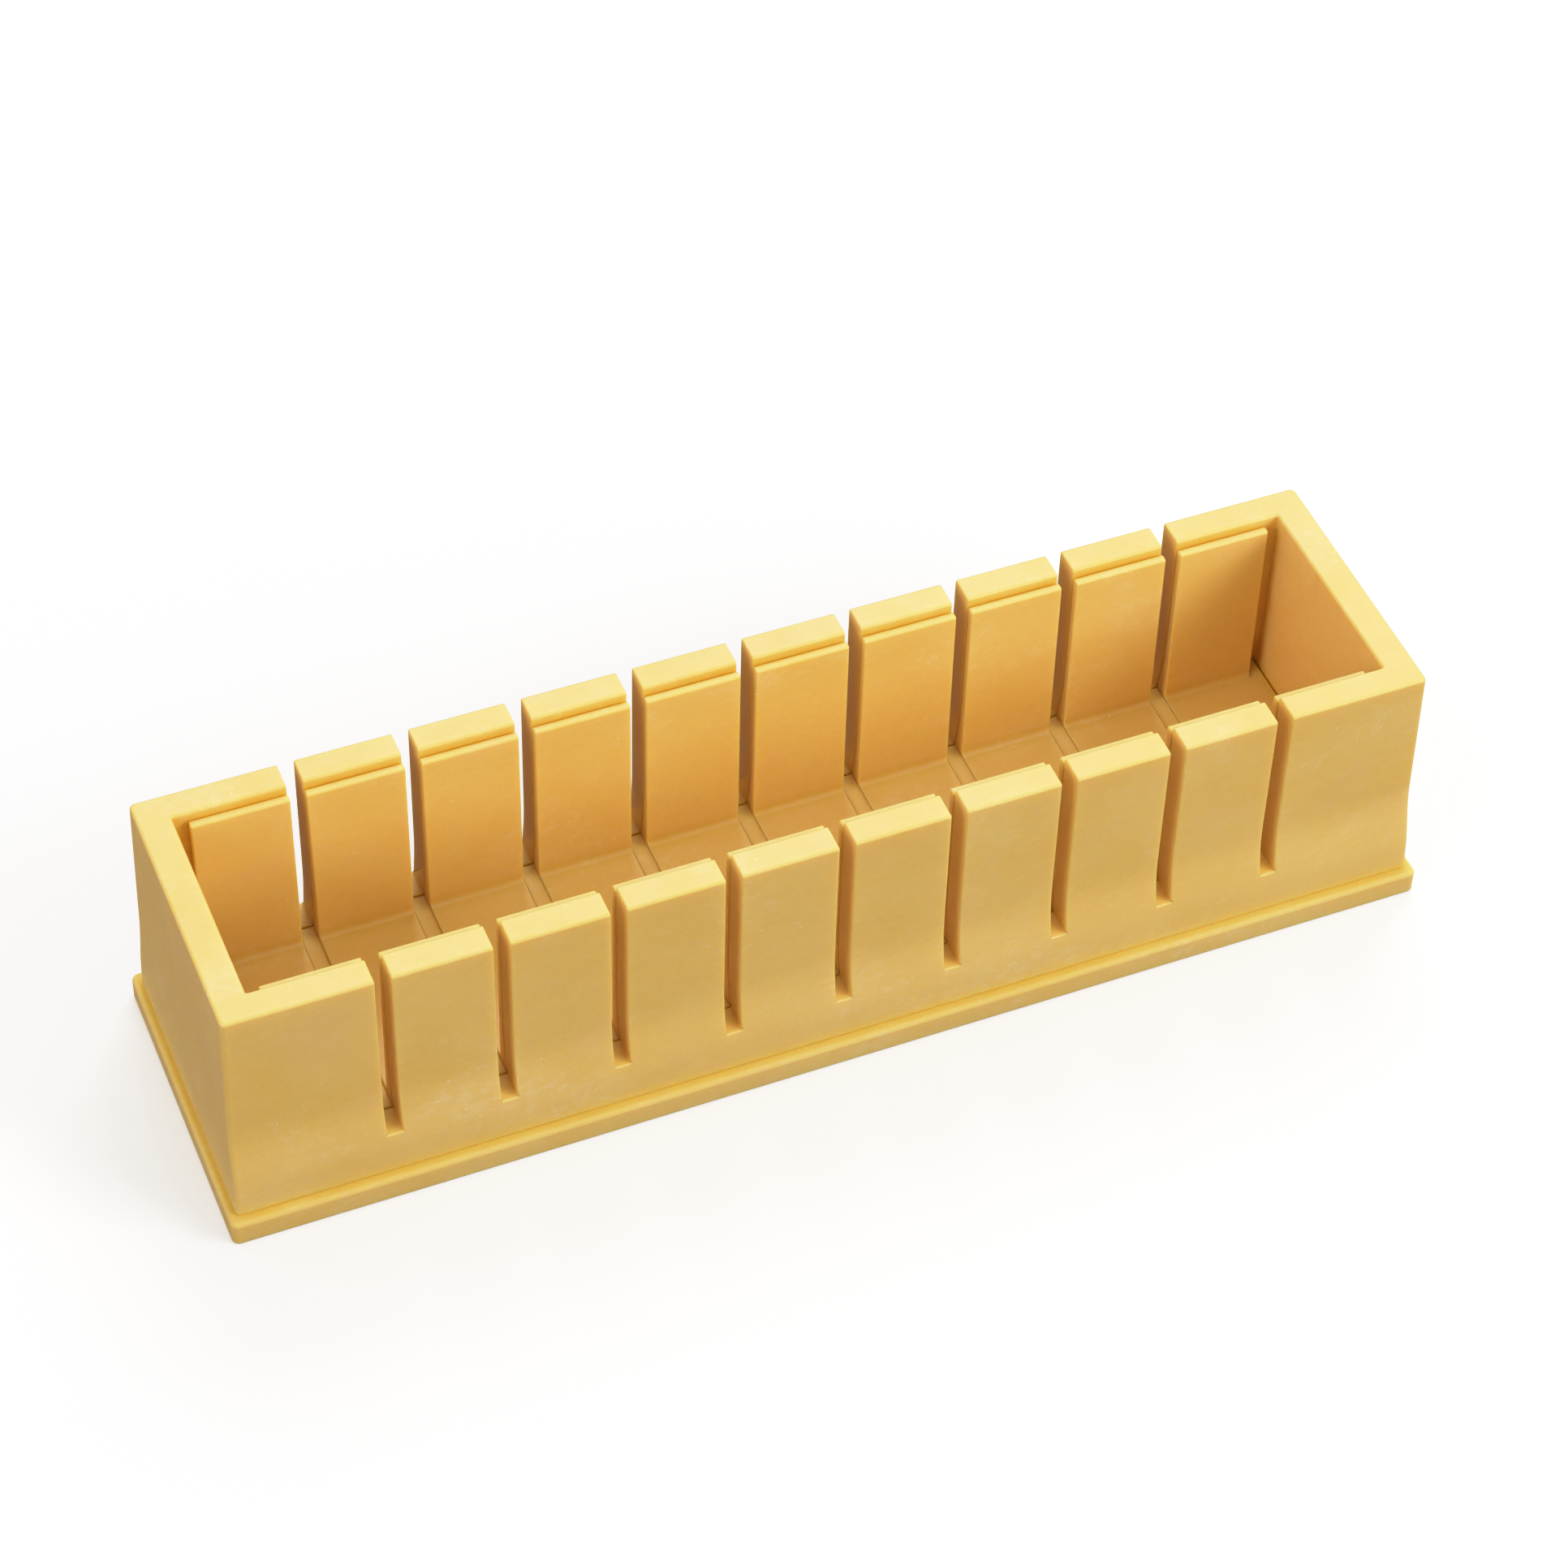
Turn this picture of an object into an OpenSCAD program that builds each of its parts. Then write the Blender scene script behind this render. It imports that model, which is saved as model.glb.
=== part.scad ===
// Slotted rice roll mould: a base tray, a trough with combed cheeks that stands in the tray, and
// a slotted frame that goes over the trough. The long axis is X, the mould stands on Z = 0 and
// the origin is the middle of its footprint.

/* [Frame] */
// Outer length of the frame at its rim
frame_length = 224.5; // [200:0.5:260]
// Outer width of the frame at its rim
frame_width = 53.5; // [46:0.5:64]
// Height of the rim above the table
mould_height = 53.5; // [48:0.5:64]
// Thickness of the long walls
side_wall = 5.7; // [4.5:0.1:7]
// Thickness of the end walls at the rim
end_wall = 6.1; // [4:0.1:8]
// How far each long wall leans out between its rim and the flare
side_draft = 0.15; // [0:0.05:1]
// How far each end wall leans out between its rim and its foot
end_draft = 1.15; // [0:0.05:2]
// How far the skirt of each long wall steps out around the foot of the trough
skirt_flare = 1.95; // [1:0.05:3]
// Height of the straight foot of the skirt above the flange
skirt_foot = 5.8; // [4:0.1:8]
// Height of the sloping band of the skirt
skirt_slope = 11.5; // [8:0.1:14]
// Radius of the upright outer corners
corner_radius = 1; // [0.8:0.1:4]
// Rounding of the rim edges
rim_radius = 0.6; // [0.3:0.1:1]
// Rounding of the outer edge that stands on the flange
foot_radius = 0.4; // [0.2:0.1:0.8]

/* [Knife slots] */
// Number of slots along each side
slot_count = 9; // [4:1:9]
// Distance from one slot to the next
slot_pitch = 21; // [16:0.5:22]
// Width of a slot
slot_width = 3; // [2:0.1:4]
// Depth of the knife grooves across the channel floor
groove_depth = 0.5; // [0.3:0.1:1]

/* [Trough] */
// Height of the channel floor above the table
channel_floor = 14.8; // [13:0.1:18]
// Drop from the rim of the frame to the top of the cheeks
cheek_drop = 1.6; // [0.5:0.1:4]
// Thickness of the cheeks at their top edge
cheek_edge = 1.7; // [1.2:0.1:2.4]
// Thickness of the cheeks above the shoulder
cheek_root = 2.1; // [1.6:0.1:2.8]
// How far the cheeks stop short of the ends of the trough
cheek_relief = 2.4; // [0:0.1:5]
// Rounding between the cheeks and the channel floor
channel_fillet = 1; // [0.5:0.1:2]
// Thickness of the channel floor
trough_floor = 2.4; // [1.8:0.1:3.2]
// Thickness of the legs below the channel floor
leg_wall = 2.4; // [1.5:0.1:3.2]
// Depth of the cross ribs under the channel floor
rib_depth = 2.6; // [1.5:0.1:3.2]
// Thickness of the cross ribs
rib_wall = 1.8; // [1.2:0.1:2.4]

/* [Base tray] */
// Height of the flange
flange_height = 5.2; // [4.5:0.1:7]
// How far the flange stands out beyond the long walls
flange_side = 1.95; // [1:0.05:5]
// How far the flange stands out beyond the end walls
flange_end = 1.5; // [1:0.1:5]
// Radius of the upright corners of the flange
flange_corner = 1.4; // [1.3:0.1:4]
// Rounding of the upper edge of the flange
flange_round = 0.9; // [0.4:0.1:1.2]
// Thickness of the floor that the trough stands on
tray_floor = 2; // [1.5:0.1:3]
// Depth of the hollow moulded into the underside of the flange
core_depth = 3; // [2:0.1:3.2]
// Thickness of the walls around that hollow
core_wall = 2.2; // [1.5:0.1:2.6]

/* [Fits] */
// Gap on each side between pieces that lift apart
clearance = 0.3; // [0.2:0.05:0.4]

/* [Hidden] */

mould_yellow = [0.93, 0.80, 0.47];
arc_steps = 8;
bend_reach = 3.5; // how far along the wall each bend of the skirt is rounded
cavity_corner = 0.4; // upright inner corners of the frame
cheek_round = 0.5; // rounding of the top edges of the cheeks
table_edge = 0.4; // rounding of the lower edge of the flange
cut = 1; // how far a cutting shape runs past the solid that it cuts
join = 0.01; // how far a rib reaches into the solid that carries it

slot_floor = channel_floor - groove_depth;
slot_span = (slot_count - 1) * slot_pitch;

rim_x = frame_length / 2;
rim_y = frame_width / 2;
cavity_x = rim_x - end_wall;
cavity_y = rim_y - side_wall;
skirt_low = flange_height + skirt_foot;
skirt_high = skirt_low + skirt_slope;
foot_x = rim_x + end_draft;
foot_y = rim_y + side_draft + skirt_flare;
foot_cavity_y = cavity_y + skirt_flare;

trough_x = cavity_x - clearance;
trough_y = cavity_y - clearance;
trough_foot_y = foot_cavity_y - clearance;
trough_top = mould_height - cheek_drop;
channel_low_y = trough_y - cheek_root;
channel_top_y = trough_y - cheek_edge;
leg_inner_y = trough_foot_y - leg_wall;
hollow_top = channel_floor - trough_floor;

flange_x = foot_x + flange_end;
flange_y = foot_y + flange_side;
pocket_x = trough_x + clearance;
pocket_y = trough_foot_y + clearance;

function slot_x(i) = i * slot_pitch - slot_span / 2;
function lerp(a, b, t) = a + (b - a) * t;

// A curve that rounds the bend at p on the way from a to b
function bend(a, p, b) = [for (i = [0:arc_steps]) let (t = i / arc_steps)
    lerp(lerp(a, p, t), lerp(p, b, t), t)];

// The point at a distance d from p towards q
function towards(p, q, d) = p + (q - p) * d / norm(q - p);

// Points [y, z] up a long wall face, from its foot past both bends of the skirt
function skirt_line(low_y, high_y, rim_y, bottom, top) =
    let (f = [low_y, bottom], a = [low_y, skirt_low], b = [high_y, skirt_high], r = [rim_y, top])
    concat([f], bend(towards(a, f, bend_reach), a, towards(a, b, bend_reach)),
        bend(towards(b, a, bend_reach), b, towards(b, r, bend_reach)));

// Half length of an end wall's outer face at a height
function end_x(z) = rim_x + end_draft * (mould_height - z) / (mould_height - flange_height);

// Outline of a rounded rectangle at one height, anticlockwise
function ring(z, x, y, r) = [for (c = [[1, 1, 0], [-1, 1, 90], [-1, -1, 180], [1, -1, 270]])
    for (i = [0:arc_steps]) let (a = c[2] + 90 * i / arc_steps)
        [c[0] * (x - r) + r * cos(a), c[1] * (y - r) + r * sin(a), z]];

// Steps [inset, drop] around a quarter circle, from its side to its crown
function quarter(r) = [for (i = [0:arc_steps]) let (a = 90 * i / arc_steps)
    [r * (1 - cos(a)), r * (1 - sin(a))]];

// A closed skin over rings that are listed from the bottom up
module loft(rings) {
    n = len(rings[0]);
    last = len(rings) - 1;
    walls = [for (k = [0:last - 1]) for (i = [0:n - 1]) let (j = (i + 1) % n)
        each [[k * n + i, (k + 1) * n + j, k * n + j], [k * n + i, (k + 1) * n + i, (k + 1) * n + j]]];
    bottom = [for (i = [1:n - 2]) [0, i, i + 1]];
    top = [for (i = [1:n - 2]) [last * n, last * n + i + 1, last * n + i]];
    polyhedron([for (r = rings) each r], concat(walls, bottom, top));
}

module frame_outside() {
    line = skirt_line(foot_y, rim_y + side_draft, rim_y, flange_height + foot_radius, mould_height);
    foot = [for (q = quarter(foot_radius))
        ring(flange_height + q[1], foot_x - q[0], foot_y - q[0], corner_radius)];
    rim = [for (q = quarter(rim_radius))
        ring(mould_height - q[1], rim_x - q[0], rim_y - q[0], corner_radius)];
    loft(concat([for (i = [arc_steps:-1:1]) foot[i]],
        [for (p = line) ring(p[1], end_x(p[1]), p[0], corner_radius)], rim));
}

module frame_cavity() {
    line = skirt_line(foot_cavity_y, cavity_y, cavity_y, flange_height - cut, mould_height);
    rim = [for (q = quarter(rim_radius))
        ring(mould_height - q[1], cavity_x + q[0], cavity_y + q[0], cavity_corner + q[0])];
    over = rim_radius;
    loft(concat([for (p = line) ring(p[1], cavity_x, p[0], cavity_corner)], rim,
        [ring(mould_height + cut, cavity_x + over, cavity_y + over, cavity_corner + over)]));
}

// The row of knife slots, across the whole mould
module knife_slots() {
    for (i = [0:slot_count - 1])
        translate([slot_x(i) - slot_width / 2, -foot_y - cut, slot_floor])
            cube([slot_width, 2 * (foot_y + cut), mould_height]);
}

module slotted_frame() {
    color(mould_yellow) difference() {
        frame_outside();
        frame_cavity();
        knife_slots();
    }
}

// A profile drawn as [y, z] and run along X between -x and x
module along_x(x) {
    translate([-x, 0, 0]) rotate([90, 0, 90]) linear_extrude(2 * x) children();
}

// Outside of the trough: it follows the inside of the frame and ends in two rounded cheek tops
module trough_profile() {
    line = skirt_line(trough_foot_y, trough_y, trough_y, tray_floor, mould_height);
    side = concat(line, [for (q = quarter(cheek_round)) [trough_y - q[0], trough_top - q[1]]]);
    polygon(concat(side, [for (i = [len(side) - 1:-1:0]) [-side[i][0], side[i][1]]]));
}

// The channel between the cheeks, with rounded edges at its floor and its mouth
module channel_profile() {
    corner = quarter(channel_fillet);
    foot = [for (i = [arc_steps:-1:0]) [channel_low_y - corner[i][0], channel_floor + corner[i][1]]];
    mouth = [for (q = quarter(cheek_round)) [channel_top_y + q[0], trough_top - q[1]]];
    side = concat(foot, mouth, [[channel_top_y + cheek_round, trough_top + cut]]);
    polygon(concat(side, [for (i = [len(side) - 1:-1:0]) [-side[i][0], side[i][1]]]));
}

// The space between the legs
module hollow_profile() {
    translate([-leg_inner_y, tray_floor - cut]) square([2 * leg_inner_y, hollow_top - tray_floor + cut]);
}

// A rib under each knife groove backs the floor where the knife lands
module floor_ribs() {
    for (i = [0:slot_count - 1])
        translate([slot_x(i) - rib_wall / 2, -leg_inner_y - join, hollow_top - rib_depth])
            cube([rib_wall, 2 * (leg_inner_y + join), rib_depth + join]);
}

module comb_trough() {
    relief = cheek_relief + cut;
    color(mould_yellow) difference() {
        along_x(trough_x) trough_profile();
        along_x(trough_x + cut) channel_profile();
        difference() {
            along_x(trough_x + cut) hollow_profile();
            floor_ribs();
        }
        knife_slots();
        for (s = [0, 1]) mirror([s, 0, 0])
            translate([trough_x - cheek_relief, -foot_y, channel_floor])
                cube([relief, 2 * foot_y, mould_height]);
    }
}

// The edge of the flange, drawn as [distance from the corner axis, height]
module flange_edge(reach) {
    upper = [for (q = quarter(flange_round)) [reach - q[0], flange_height - q[1]]];
    lower = [for (q = quarter(table_edge)) [reach - q[0], q[1]]];
    polygon(concat([[0, 0]], [for (i = [arc_steps:-1:0]) lower[i]], upper, [[0, flange_height]]));
}

// A slab with round corners and a rounded edge, from corner turns and straight runs
module flange_slab() {
    reach_x = flange_x - flange_corner;
    reach_y = flange_y - flange_corner;
    for (sx = [0, 1], sy = [0, 1]) mirror([sx, 0, 0]) mirror([0, sy, 0])
        translate([reach_x, reach_y, 0]) rotate_extrude(angle = 90, $fn = 96) flange_edge(flange_corner);
    for (s = [0, 1]) {
        mirror([0, s, 0]) translate([-reach_x, reach_y, 0]) rotate([90, 0, 90])
            linear_extrude(2 * reach_x) flange_edge(flange_corner);
        mirror([s, 0, 0]) translate([reach_x, reach_y, 0]) rotate([90, 0, 0])
            linear_extrude(2 * reach_y) flange_edge(flange_corner);
    }
    translate([-reach_x, -reach_y, 0]) cube([2 * reach_x, 2 * reach_y, flange_height]);
}

module block(x, y, low, high) {
    translate([-x, -y, low]) cube([2 * x, 2 * y, high - low]);
}

// The hollow under the border of the tray, crossed by a web in line with each knife slot
module flange_core() {
    difference() {
        block(flange_x - core_wall, flange_y - core_wall, -cut, core_depth);
        block(pocket_x + core_wall, pocket_y + core_wall, -2 * cut, core_depth + cut);
        for (i = [0:slot_count - 1])
            translate([slot_x(i) - rib_wall / 2, -flange_y, -2 * cut])
                cube([rib_wall, 2 * flange_y, core_depth + 3 * cut]);
        translate([-flange_x, -rib_wall / 2, -2 * cut])
            cube([2 * flange_x, rib_wall, core_depth + 3 * cut]);
    }
}

module base_tray() {
    color(mould_yellow) difference() {
        flange_slab();
        block(pocket_x, pocket_y, tray_floor, flange_height + cut);
        flange_core();
    }
}

base_tray();
comb_trough();
slotted_frame();
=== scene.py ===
"""The looks of the slotted sushi roll mould: moulded yellow plastic on a pale studio floor."""
import math

import bpy
from mathutils import Matrix, Vector

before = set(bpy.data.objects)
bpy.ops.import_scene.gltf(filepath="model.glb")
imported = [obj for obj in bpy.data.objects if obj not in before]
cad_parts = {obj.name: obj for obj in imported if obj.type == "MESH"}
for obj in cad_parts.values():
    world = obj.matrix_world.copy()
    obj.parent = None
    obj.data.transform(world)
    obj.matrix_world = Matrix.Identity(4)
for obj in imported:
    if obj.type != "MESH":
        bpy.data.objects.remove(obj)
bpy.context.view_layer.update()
MM = 0.001


# ---------------------------------------------------------------- camera
PHOTO_SIZE = 1932  # pixels along each side of the photograph
FOCAL_PIXELS = 5463.4  # focal length in those pixels
SENSOR = 36.0  # mm
CAMERA_AZIMUTH = math.radians(-23.6)
CAMERA_ELEVATION = math.radians(47.04)
CAMERA_ROLL = math.radians(1.96)
CAMERA_DISTANCE = 785.5 * MM
CAMERA_TARGET = Vector((-0.77, 0.0, 42.64)) * MM
NEAREST, FARTHEST = 0.02, 20.0  # metres that the camera sees


def make_camera():
    level = math.cos(CAMERA_ELEVATION)
    back = Vector((math.sin(CAMERA_AZIMUTH) * level, -math.cos(CAMERA_AZIMUTH) * level,
                   math.sin(CAMERA_ELEVATION)))
    right = Vector((math.cos(CAMERA_AZIMUTH), math.sin(CAMERA_AZIMUTH), 0.0))
    up = back.cross(right)
    roll_cos, roll_sin = math.cos(CAMERA_ROLL), math.sin(CAMERA_ROLL)
    side = right * roll_cos + up * roll_sin
    top = up * roll_cos - right * roll_sin
    data = bpy.data.cameras.new("camera")
    data.sensor_width = SENSOR
    data.lens = FOCAL_PIXELS * SENSOR / PHOTO_SIZE
    data.clip_start, data.clip_end = NEAREST, FARTHEST
    camera = bpy.data.objects.new("camera", data)
    bpy.context.scene.collection.objects.link(camera)
    place = Matrix((side, top, back)).transposed().to_4x4()
    place.translation = CAMERA_TARGET + back * CAMERA_DISTANCE
    camera.matrix_world = place
    bpy.context.scene.camera = camera


# ---------------------------------------------------------------- node helpers
class Nodes:
    """A short way to add shader nodes and join them."""

    def __init__(self, name):
        self.material = bpy.data.materials.new(name)
        self.material.use_nodes = True
        self.tree = self.material.node_tree
        self.tree.nodes.clear()
        self.place = self.add("ShaderNodeTexCoord").outputs["Object"]

    def add(self, kind, **settings):
        node = self.tree.nodes.new(kind)
        for key, value in settings.items():
            setattr(node, key, value)
        return node

    def feed(self, node, socket, value):
        if isinstance(value, bpy.types.NodeSocket):
            self.tree.links.new(value, node.inputs[socket])
        else:
            node.inputs[socket].default_value = value

    def stretched(self, scale, offset):
        """The place in the object, scaled along each axis and moved."""
        node = self.add("ShaderNodeMapping")
        self.feed(node, "Vector", self.place)
        self.feed(node, "Scale", scale)
        self.feed(node, "Location", offset)
        return node.outputs["Vector"]

    def noise(self, size_mm, detail, roughness, stretch=(1.0, 1.0, 1.0), offset=(0.0, 0.0, 0.0),
              distortion=0.0):
        node = self.add("ShaderNodeTexNoise")
        self.feed(node, "Vector", self.stretched(stretch, offset))
        self.feed(node, "Scale", 1.0 / (size_mm * MM))
        self.feed(node, "Detail", detail)
        self.feed(node, "Roughness", roughness)
        self.feed(node, "Distortion", distortion)
        return node.outputs["Fac"]

    def spread(self, value, low, high, to_low=0.0, to_high=1.0):
        """Maps low..high to to_low..to_high, smoothly and clamped."""
        node = self.add("ShaderNodeMapRange", interpolation_type="SMOOTHSTEP")
        self.feed(node, "Value", value)
        self.feed(node, "From Min", low)
        self.feed(node, "From Max", high)
        self.feed(node, "To Min", to_low)
        self.feed(node, "To Max", to_high)
        return node.outputs["Result"]

    def math(self, operation, a, b=0.0):
        node = self.add("ShaderNodeMath", operation=operation)
        self.feed(node, 0, a)
        self.feed(node, 1, b)
        return node.outputs["Value"]

    def times(self, a, b):
        return self.math("MULTIPLY", a, b)

    def plus(self, a, b):
        return self.math("ADD", a, b)

    def mix(self, amount, a, b, blend="MIX"):
        node = self.add("ShaderNodeMix", data_type="RGBA", blend_type=blend)
        self.feed(node, 0, amount)
        self.feed(node, 6, a)
        self.feed(node, 7, b)
        return node.outputs[2]

    def ramp(self, value, stops):
        """A colour that runs from stop to stop, each (place, colour)."""
        node = self.add("ShaderNodeValToRGB")
        self.feed(node, "Fac", value)
        bar = node.color_ramp.elements
        bar[0].position, bar[0].color = stops[0]
        bar[-1].position, bar[-1].color = stops[-1]
        for place, colour in stops[1:-1]:
            bar.new(place).color = colour
        return node.outputs["Color"]

    def bump(self, height, depth_mm, strength, normal=None):
        node = self.add("ShaderNodeBump")
        self.feed(node, "Height", height)
        self.feed(node, "Distance", depth_mm * MM)
        self.feed(node, "Strength", strength)
        if normal is not None:
            self.feed(node, "Normal", normal)
        return node.outputs["Normal"]

    def finished(self, shader):
        output = self.add("ShaderNodeOutputMaterial")
        self.feed(output, "Surface", shader.outputs["BSDF"])
        return self.material


def linear(red, green, blue):
    """A scene-linear colour from 8-bit sRGB."""
    def channel(value):
        value /= 255.0
        return value / 12.92 if value <= 0.04045 else ((value + 0.055) / 1.055) ** 2.4
    return channel(red), channel(green), channel(blue), 1.0


# ---------------------------------------------------------------- plastic
BUTTER = linear(230, 196, 121)  # the plastic itself
AMBER = linear(227, 188, 105)  # where its pigment is denser
CHALK_AND_SHEEN = linear(235, 208, 152)
BLUSH_AND_SHEEN = linear(229, 190, 133)
SCUFF = linear(244, 230, 196)
SPECK = linear(112, 76, 36)

# sizes of the patterns, in mm
CLOUDS, PATCHES, MARBLE, FLOW, GRAIN = 26.0, 15.0, 1.7, 1.0, 0.45
GLOSS, RIPPLES = 7.0, 4.5
# cell, radius and share of the cells that hold one
SCUFF_DOTS = (2.4, 0.30, 0.22)
SPECK_DOTS = (9.0, 0.22, 0.10)
SCUFF_SHIFT = 0.5  # metres: keeps the scuffs' pattern apart from the specks'

# how far each colour covers the ones below it
AMBER_SHARE, CHALK_SHARE, BLUSH_SHARE, MARBLE_SHARE = 0.6, 0.40, 0.35, 0.16
SCUFF_SHARE, SPECK_SHARE = 0.45, 0.75
# painted sheen: the end walls are tinted paler and pinker, the way a grazing reflection shows them
END_WALL_PAINTED_SHEEN = 0.30
SKIRT_FROM, SKIRT_TO = 25.0 * MM, 17.0 * MM  # heights between which the walls turn chalkier, and paler by a painted sheen
# the first is a painted sheen on the low walls, where more light falls; the second adds chalky patches
# there
SKIRT_PAINTED_SHEEN, SKIRT_PATCHES = 0.10, 0.06
GRAIN_TONE, FLOW_TONE = 0.016, 0.010  # how far the grain and the flow lines lighten and darken
TONE_BY_CHANNEL = (("Red", 0.7), ("Green", 1.0), ("Blue", 1.6))
SIDEWAYS = 0.8  # a surface normal's least X on an end wall

# painted shade and light by openness: a corner is painted a little darker, and a tight gap gets a painted
# amber glow, as in the photograph
NOOK_PAINTED_SHADE_AND_GLOW = ((0.15, (1.22, 1.16, 0.42, 1.0)), (0.38, (1.10, 1.07, 0.50, 1.0)), (0.60, (1.00, 0.99, 0.70, 1.0)),
         (0.82, (0.97, 0.97, 0.86, 1.0)), (1.00, (1.0, 1.0, 1.0, 1.0)))
NOOK_REACH = 3.0 * MM
NOOK_SAMPLES = 8
TRAY_TOP = 6.0 * MM  # the faces that look up below this height are the tray's own
# their colour is darkened by a painted shade, and they are roughened, because these lights bleach them and
# the photograph's don't
TRAY_PAINTED_SHADE, TRAY_ROUGHNESS = (0.90, 0.93, 0.88, 1.0), 0.35
LEANING, UPWARD = 0.1, 0.6  # a surface normal's Z, from a face that leans to one that looks up

SMOOTHEST, ROUGHEST, FLOW_ROUGHNESS = 0.38, 0.47, 0.05
RIPPLE_DEPTH, GRAIN_DEPTH = 0.05, 0.010  # mm
REFRACTION = 1.56
TRANSLUCENCY, LIGHT_REACH, REACH_BY_CHANNEL = 0.6, 3.0 * MM, (1.0, 0.85, 0.2)


def specks(nodes, cell_mm, radius_mm, share, offset):
    """Sparse round specks: 1 inside a speck, 0 elsewhere."""
    cell = nodes.add("ShaderNodeTexVoronoi", feature="F1")
    nodes.feed(cell, "Vector", nodes.stretched((1.0, 1.0, 1.0), offset))
    nodes.feed(cell, "Scale", 1.0 / (cell_mm * MM))
    near = nodes.spread(cell.outputs["Distance"], radius_mm / cell_mm, 0.5 * radius_mm / cell_mm)
    draw = nodes.add("ShaderNodeSeparateColor")
    nodes.feed(draw, "Color", cell.outputs["Color"])
    return nodes.times(near, nodes.math("LESS_THAN", draw.outputs["Red"], share))


def parted(nodes, vector):
    """A vector's X, Y and Z sockets."""
    parts = nodes.add("ShaderNodeSeparateXYZ")
    nodes.feed(parts, "Vector", vector)
    return parts.outputs


def flow_lines(nodes, end_wall, offset):
    """Faint lines that the melt left: along the long walls, and upright on the end walls."""
    along = nodes.noise(FLOW, 3.0, 0.6, (0.14, 1.0, 1.0), offset)
    upright = nodes.noise(FLOW, 3.0, 0.6, (1.0, 1.0, 0.16), offset)
    lines = nodes.add("ShaderNodeMix", data_type="FLOAT")
    nodes.feed(lines, 0, end_wall)
    nodes.feed(lines, 2, along)
    nodes.feed(lines, 3, upright)
    return lines.outputs[0]


def pigment_and_sheen(nodes, low_down, end_wall, offset):
    """Soft clouds, small paler marbling, and here and there a chalky, pinkish or scuffed patch; the end
    walls and the low walls also get a painted sheen.
    """
    clouds = nodes.spread(nodes.noise(CLOUDS, 3.0, 0.55, offset=offset), 0.32, 0.70)
    marble = nodes.spread(nodes.noise(MARBLE, 4.0, 0.6, (0.75, 1.0, 1.0), offset, 0.6), 0.46, 0.72)
    patch = nodes.noise(PATCHES, 2.0, 0.5, (0.6, 1.0, 1.0), offset)
    patch = nodes.plus(patch, nodes.times(low_down, SKIRT_PATCHES))
    chalky = nodes.times(nodes.spread(patch, 0.54, 0.70), nodes.spread(marble, 0.0, 0.6, 0.35, 1.0))
    pinkish = nodes.spread(patch, 0.45, 0.30)
    scuffs = specks(nodes, *SCUFF_DOTS, (offset[0] + SCUFF_SHIFT, offset[1], offset[2]))
    scuffs = nodes.times(scuffs, nodes.spread(patch, 0.46, 0.60))

    colour = nodes.mix(nodes.times(clouds, AMBER_SHARE), BUTTER, AMBER)
    # pinkish patches, and a painted sheen on the end walls
    blush_and_sheen = nodes.plus(nodes.times(pinkish, BLUSH_SHARE), nodes.times(end_wall, END_WALL_PAINTED_SHEEN))
    colour = nodes.mix(blush_and_sheen, colour, BLUSH_AND_SHEEN)
    # chalky patches, and a painted sheen on the low walls
    chalk_and_sheen = nodes.plus(nodes.times(chalky, CHALK_SHARE), nodes.times(low_down, SKIRT_PAINTED_SHEEN))
    colour = nodes.mix(chalk_and_sheen, colour, CHALK_AND_SHEEN)
    colour = nodes.mix(nodes.times(marble, MARBLE_SHARE), colour, CHALK_AND_SHEEN)
    return nodes.mix(nodes.times(scuffs, SCUFF_SHARE), colour, SCUFF)


def toned(nodes, colour, grain, lines):
    """Lightens and darkens a colour a little by its grain and its flow lines, in blue the most."""
    tone = nodes.plus(nodes.spread(grain, 0.3, 0.7, -GRAIN_TONE, GRAIN_TONE),
                      nodes.spread(lines, 0.3, 0.7, -FLOW_TONE, FLOW_TONE))
    tint = nodes.add("ShaderNodeCombineColor")
    for channel, strength in TONE_BY_CHANNEL:
        nodes.feed(tint, channel, nodes.plus(nodes.times(tone, strength), 1.0))
    return nodes.mix(1.0, colour, tint.outputs["Color"], "MULTIPLY")


def paint_nook_shade_and_glow(nodes, colour):
    """Paints shade into corners and a painted amber glow into tight gaps."""
    openness = nodes.add("ShaderNodeAmbientOcclusion", samples=NOOK_SAMPLES)
    nodes.feed(openness, "Distance", NOOK_REACH)
    return nodes.mix(1.0, colour, nodes.ramp(openness.outputs["AO"], NOOK_PAINTED_SHADE_AND_GLOW), "MULTIPLY")


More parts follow.
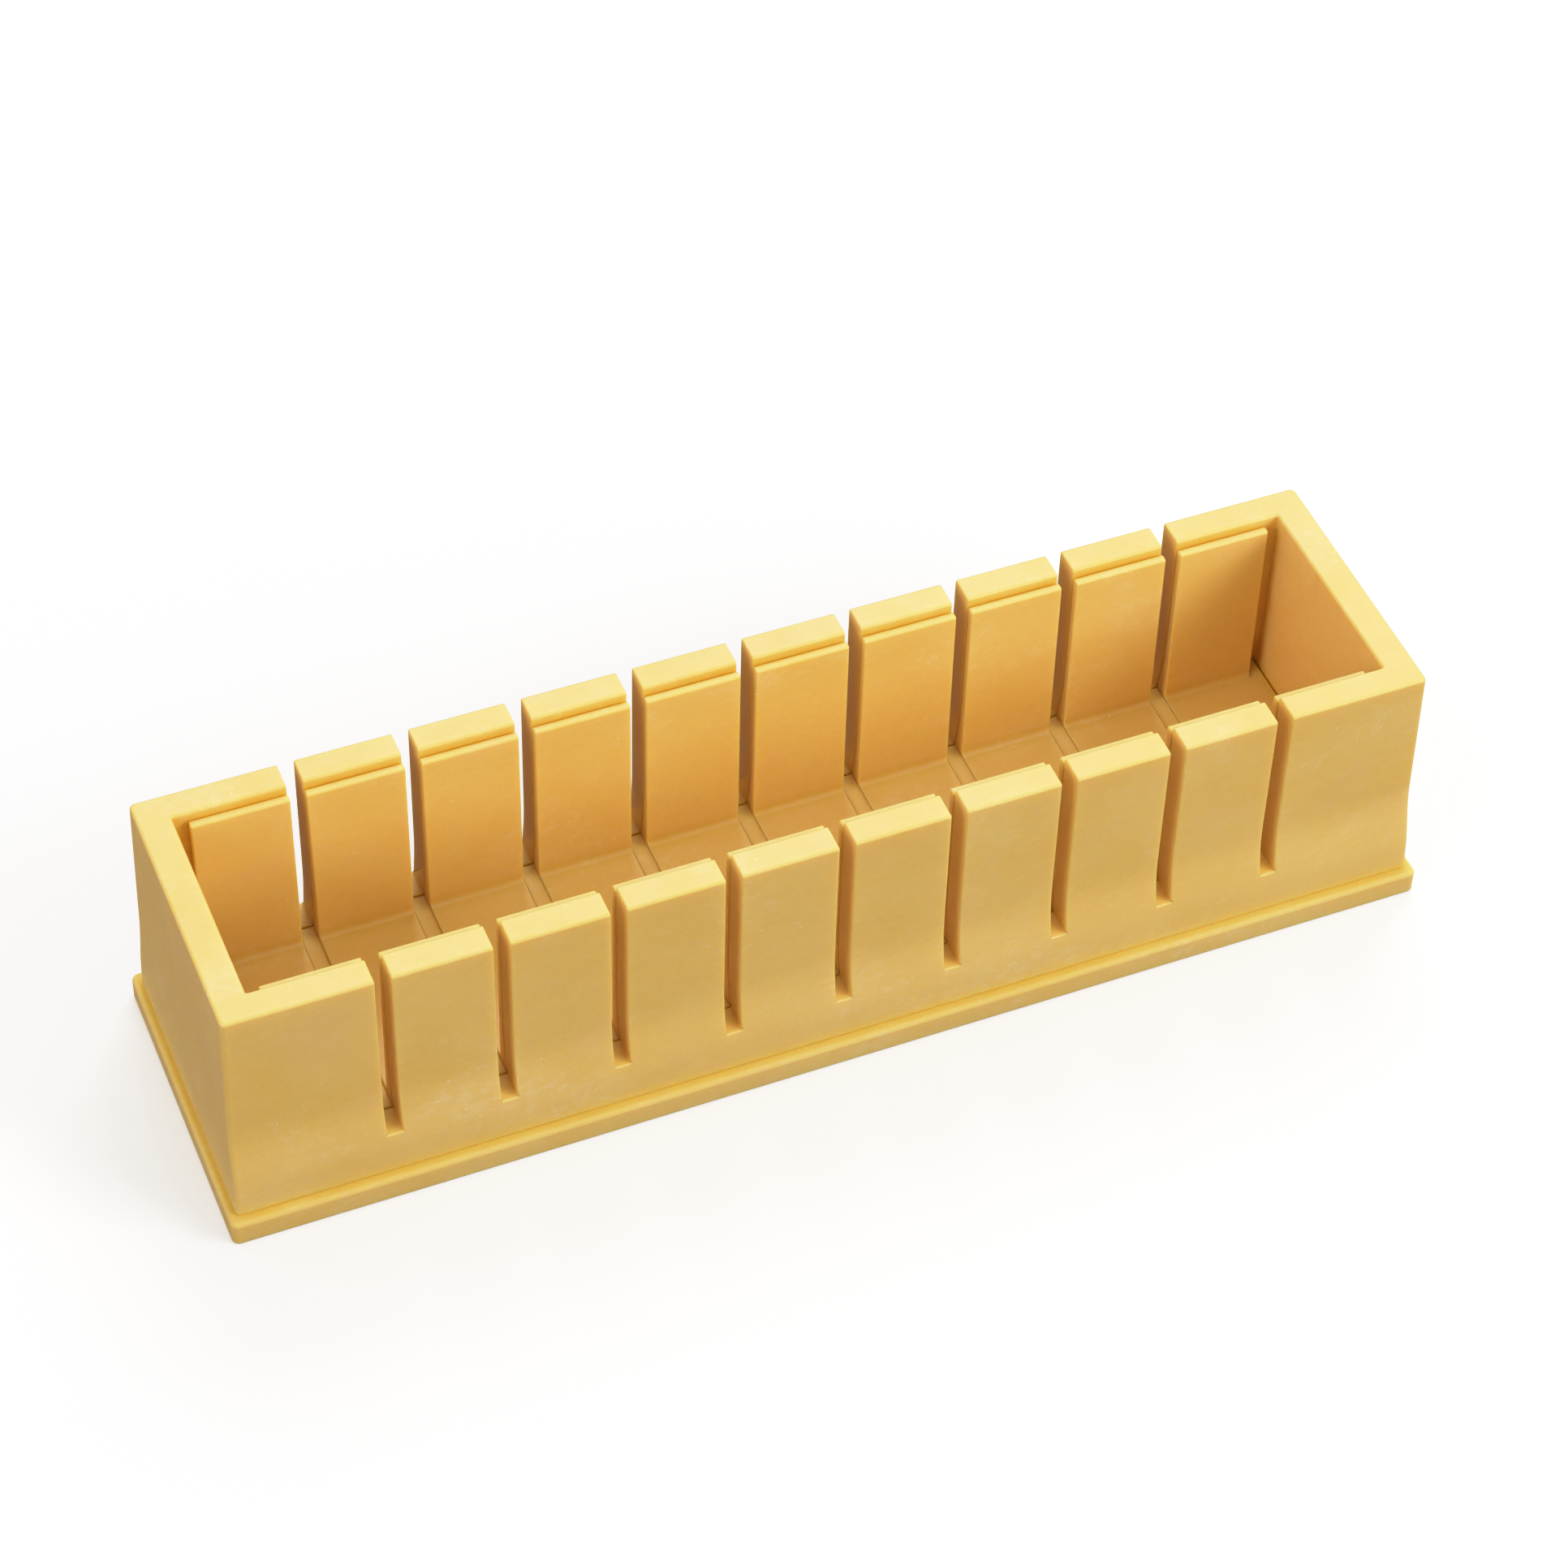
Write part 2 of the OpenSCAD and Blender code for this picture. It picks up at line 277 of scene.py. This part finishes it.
def moulded_plastic(name, offset):
    nodes = Nodes(name)
    height = parted(nodes, nodes.place)["Z"]
    facing = parted(nodes, nodes.add("ShaderNodeTexCoord").outputs["Normal"])
    end_wall = nodes.math("GREATER_THAN", nodes.math("ABSOLUTE", facing["X"]), SIDEWAYS)
    low_down = nodes.spread(height, SKIRT_FROM, SKIRT_TO)
    # the tray's upward faces, which get a painted shade and more roughness
    tray_top = nodes.times(nodes.spread(facing["Z"], LEANING, UPWARD),
                           nodes.math("LESS_THAN", height, TRAY_TOP))
    lines = flow_lines(nodes, end_wall, offset)
    grain = nodes.noise(GRAIN, 3.0, 0.65, offset=offset)

    colour = toned(nodes, pigment_and_sheen(nodes, low_down, end_wall, offset), grain, lines)
    colour = nodes.mix(nodes.times(specks(nodes, *SPECK_DOTS, offset), SPECK_SHARE), colour, SPECK)
    # painted shade and glow in corners and gaps, then a painted shade on the tray's upward faces
    colour = nodes.mix(tray_top, paint_nook_shade_and_glow(nodes, colour), TRAY_PAINTED_SHADE, "MULTIPLY")

    rough = nodes.spread(nodes.noise(GLOSS, 3.0, 0.6, offset=offset), 0.25, 0.75, SMOOTHEST, ROUGHEST)
    rough = nodes.plus(rough, nodes.spread(lines, 0.55, 0.75, 0.0, FLOW_ROUGHNESS))
    rough = nodes.plus(rough, nodes.times(tray_top, TRAY_ROUGHNESS))

    normal = nodes.bump(nodes.noise(RIPPLES, 2.0, 0.5, offset=offset), RIPPLE_DEPTH, 0.3)
    normal = nodes.bump(nodes.plus(grain, nodes.times(lines, 0.4)), GRAIN_DEPTH, 0.5, normal)

    shader = nodes.add("ShaderNodeBsdfPrincipled")
    nodes.feed(shader, "Base Color", colour)
    nodes.feed(shader, "Roughness", rough)
    nodes.feed(shader, "Normal", normal)
    nodes.feed(shader, "IOR", REFRACTION)
    nodes.feed(shader, "Subsurface Weight", TRANSLUCENCY)
    nodes.feed(shader, "Subsurface Radius", REACH_BY_CHANNEL)
    nodes.feed(shader, "Subsurface Scale", LIGHT_REACH)
    return nodes.finished(shader)


# ---------------------------------------------------------------- soft moulded edges
EDGE_RADIUS = 0.3 * MM
EDGE_STEPS = 3
SHARP = math.radians(40)  # edges with a wider turn are rounded
NEARLY_FLAT = math.radians(0.3)  # faces that turn less are one face
WELD_GAP = 1e-6  # metres


def soften(node):
    """Rounds a CAD node's sharp edges by modifiers and shades it smooth."""
    mesh = node.data
    if "custom_normal" in mesh.attributes:
        mesh.attributes.remove(mesh.attributes["custom_normal"])
    mesh.polygons.foreach_set("use_smooth", [True] * len(mesh.polygons))
    weld = node.modifiers.new("weld", "WELD")
    weld.merge_threshold = WELD_GAP
    flat = node.modifiers.new("flat", "DECIMATE")
    flat.decimate_type = "DISSOLVE"
    flat.angle_limit = NEARLY_FLAT
    bevel = node.modifiers.new("edges", "BEVEL")
    bevel.width = EDGE_RADIUS
    bevel.segments = EDGE_STEPS
    bevel.limit_method = "ANGLE"
    bevel.angle_limit = SHARP
    bevel.use_clamp_overlap = False
    bevel.miter_outer = "MITER_ARC"
    normals = node.modifiers.new("normals", "WEIGHTED_NORMAL")
    normals.keep_sharp = True


# ---------------------------------------------------------------- studio
FLOOR_WHITE = linear(249, 249, 249)
FLOOR_ROUGHNESS, FLOOR_SHINE = 0.9, 0.1
NEAR_GLOW, FAR_GLOW = 0.14, 0.90  # keeps the floor near white, as the cut-out background is
GLOW_FROM, GLOW_TO = 0.5, 1.8  # metres from the mould, between which the glow makes up for the softboxes
FLOOR_REACH = 2.4  # metres: the flat floor's radius
COVE_RADIUS = 0.9  # metres: the curve from the floor up into the wall
WALL_TOP = 2.0  # metres
SIDES, CURVE_STEPS = 96, 12


def cove_mesh():
    """A flat round floor that curves up into a wall all round."""
    turns = [0.5 * math.pi * step / CURVE_STEPS for step in range(CURVE_STEPS + 1)]
    rings = [(0.5 * FLOOR_REACH, 0.0)]
    rings += [(FLOOR_REACH + COVE_RADIUS * math.sin(turn), COVE_RADIUS * (1.0 - math.cos(turn)))
              for turn in turns]
    rings += [(FLOOR_REACH + COVE_RADIUS, WALL_TOP)]
    spokes = [2.0 * math.pi * side / SIDES for side in range(SIDES)]
    points = [(radius * math.cos(spoke), radius * math.sin(spoke), height)
              for radius, height in rings for spoke in spokes]
    faces = [tuple(range(SIDES))]
    for ring in range(len(rings) - 1):
        for side in range(SIDES):
            here, there = ring * SIDES + side, ring * SIDES + (side + 1) % SIDES
            faces.append((here, here + SIDES, there + SIDES, there))
    mesh = bpy.data.meshes.new("studio_floor")
    mesh.from_pydata(points, [], faces)
    mesh.polygons.foreach_set("use_smooth", [True] * len(mesh.polygons))
    return mesh


def make_floor():
    """A white studio floor and cove, seen by the camera but not by the mould's plastic."""
    floor = bpy.data.objects.new("studio_floor", cove_mesh())
    bpy.context.scene.collection.objects.link(floor)
    nodes = Nodes("studio_floor")
    nodes.material.cycles.emission_sampling = "NONE"
    away = nodes.add("ShaderNodeVectorMath", operation="LENGTH")
    nodes.feed(away, 0, nodes.place)
    glow = nodes.spread(away.outputs["Value"], GLOW_FROM, GLOW_TO, NEAR_GLOW, FAR_GLOW)
    shader = nodes.add("ShaderNodeBsdfPrincipled")
    nodes.feed(shader, "Base Color", FLOOR_WHITE)
    nodes.feed(shader, "Emission Color", FLOOR_WHITE)
    nodes.feed(shader, "Emission Strength", glow)
    nodes.feed(shader, "Roughness", FLOOR_ROUGHNESS)
    nodes.feed(shader, "Specular IOR Level", FLOOR_SHINE)
    floor.data.materials.append(nodes.finished(shader))
    floor.visible_diffuse = False
    floor.visible_glossy = False
    floor.visible_shadow = False


SKY_STRENGTH = 0.6
SKY, TABLE = (1.0, 1.0, 1.0, 1.0), (0.29, 0.29, 0.29, 1.0)
SKY_FADES = (-0.25, 0.15)  # a direction's Z, from the table's shade to the sky's
LIGHT_AIM = Vector((0.0, 0.0, 0.03))
WHITE, WARM_WHITE = (1.0, 1.0, 1.0), (1.0, 0.93, 0.92)
SOFTBOXES = (  # name, place and size in metres, watts, colour
    ("top_softbox", (0.20, 0.05, 1.35), (1.2, 1.0), 1.8, WHITE),
    ("back_softbox", (0.36, 0.80, 1.00), (0.8, 0.6), 6.5, WHITE),
    ("left_softbox", (-1.10, -0.30, 0.60), (0.8, 0.6), 5.8, WARM_WHITE),
    ("right_softbox", (0.80, -0.75, 0.60), (0.7, 0.6), 9.8, WHITE),
)


def softbox(name, place, size, watts, colour):
    data = bpy.data.lights.new(name, "AREA")
    data.shape = "RECTANGLE"
    data.size, data.size_y = size
    data.energy = watts
    data.color = colour
    light = bpy.data.objects.new(name, data)
    light.location = place
    light.rotation_euler = (LIGHT_AIM - Vector(place)).to_track_quat("-Z", "Y").to_euler()
    bpy.context.scene.collection.objects.link(light)


def light_studio():
    """A soft dome above a dim table, and four softboxes: above, behind, left and right."""
    world = bpy.data.worlds.new("studio")
    bpy.context.scene.world = world
    world.use_nodes = True
    tree = world.node_tree
    backdrop = tree.nodes["Background"]
    place = tree.nodes.new("ShaderNodeTexCoord")
    height = tree.nodes.new("ShaderNodeSeparateXYZ")
    tree.links.new(place.outputs["Generated"], height.inputs["Vector"])
    fade = tree.nodes.new("ShaderNodeMapRange")
    fade.interpolation_type = "SMOOTHSTEP"
    fade.inputs["From Min"].default_value, fade.inputs["From Max"].default_value = SKY_FADES
    tree.links.new(height.outputs["Z"], fade.inputs["Value"])
    shade = tree.nodes.new("ShaderNodeMix")
    shade.data_type = "RGBA"
    shade.inputs[6].default_value = TABLE
    shade.inputs[7].default_value = SKY
    tree.links.new(fade.outputs["Result"], shade.inputs[0])
    tree.links.new(shade.outputs[2], backdrop.inputs["Color"])
    backdrop.inputs["Strength"].default_value = SKY_STRENGTH
    for box in SOFTBOXES:
        softbox(*box)


# ---------------------------------------------------------------- tone
BRIGHTEST = 1.6  # the curve's end: light above it stays pure white
COMBINED = 3  # the curve that acts on all three channels
# scene light and what is shown for it, between the curve's own ends at 0 and at BRIGHTEST
TONE = ((0.05, 0.032), (0.12, 0.085), (0.25, 0.215), (0.42, 0.39), (0.6, 0.59), (0.8, 0.78), (1.0, 0.88),
        (1.13, 0.935), (1.25, 0.98), (1.35, 1.0))


def set_tone():
    """A photographic tone curve: deeper shadows, and highlights that roll off softly."""
    settings = bpy.context.scene.view_settings
    settings.view_transform = "Standard"
    settings.use_curve_mapping = True
    mapping = settings.curve_mapping
    mapping.white_level = (BRIGHTEST,) * 3
    points = mapping.curves[COMBINED].points
    for light, shown in TONE:
        points.new(light / BRIGHTEST, shown)
    mapping.update()


NOISE_STEP = (0.31, 0.17, 0.23)  # metres between two pieces' places in the noise

make_camera()
set_tone()
light_studio()
make_floor()
for index, (name, node) in enumerate(sorted(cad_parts.items())):
    soften(node)
    plastic = moulded_plastic(name + "_plastic", tuple(step * index for step in NOISE_STEP))
    for material_slot in node.material_slots:
        material_slot.material = plastic
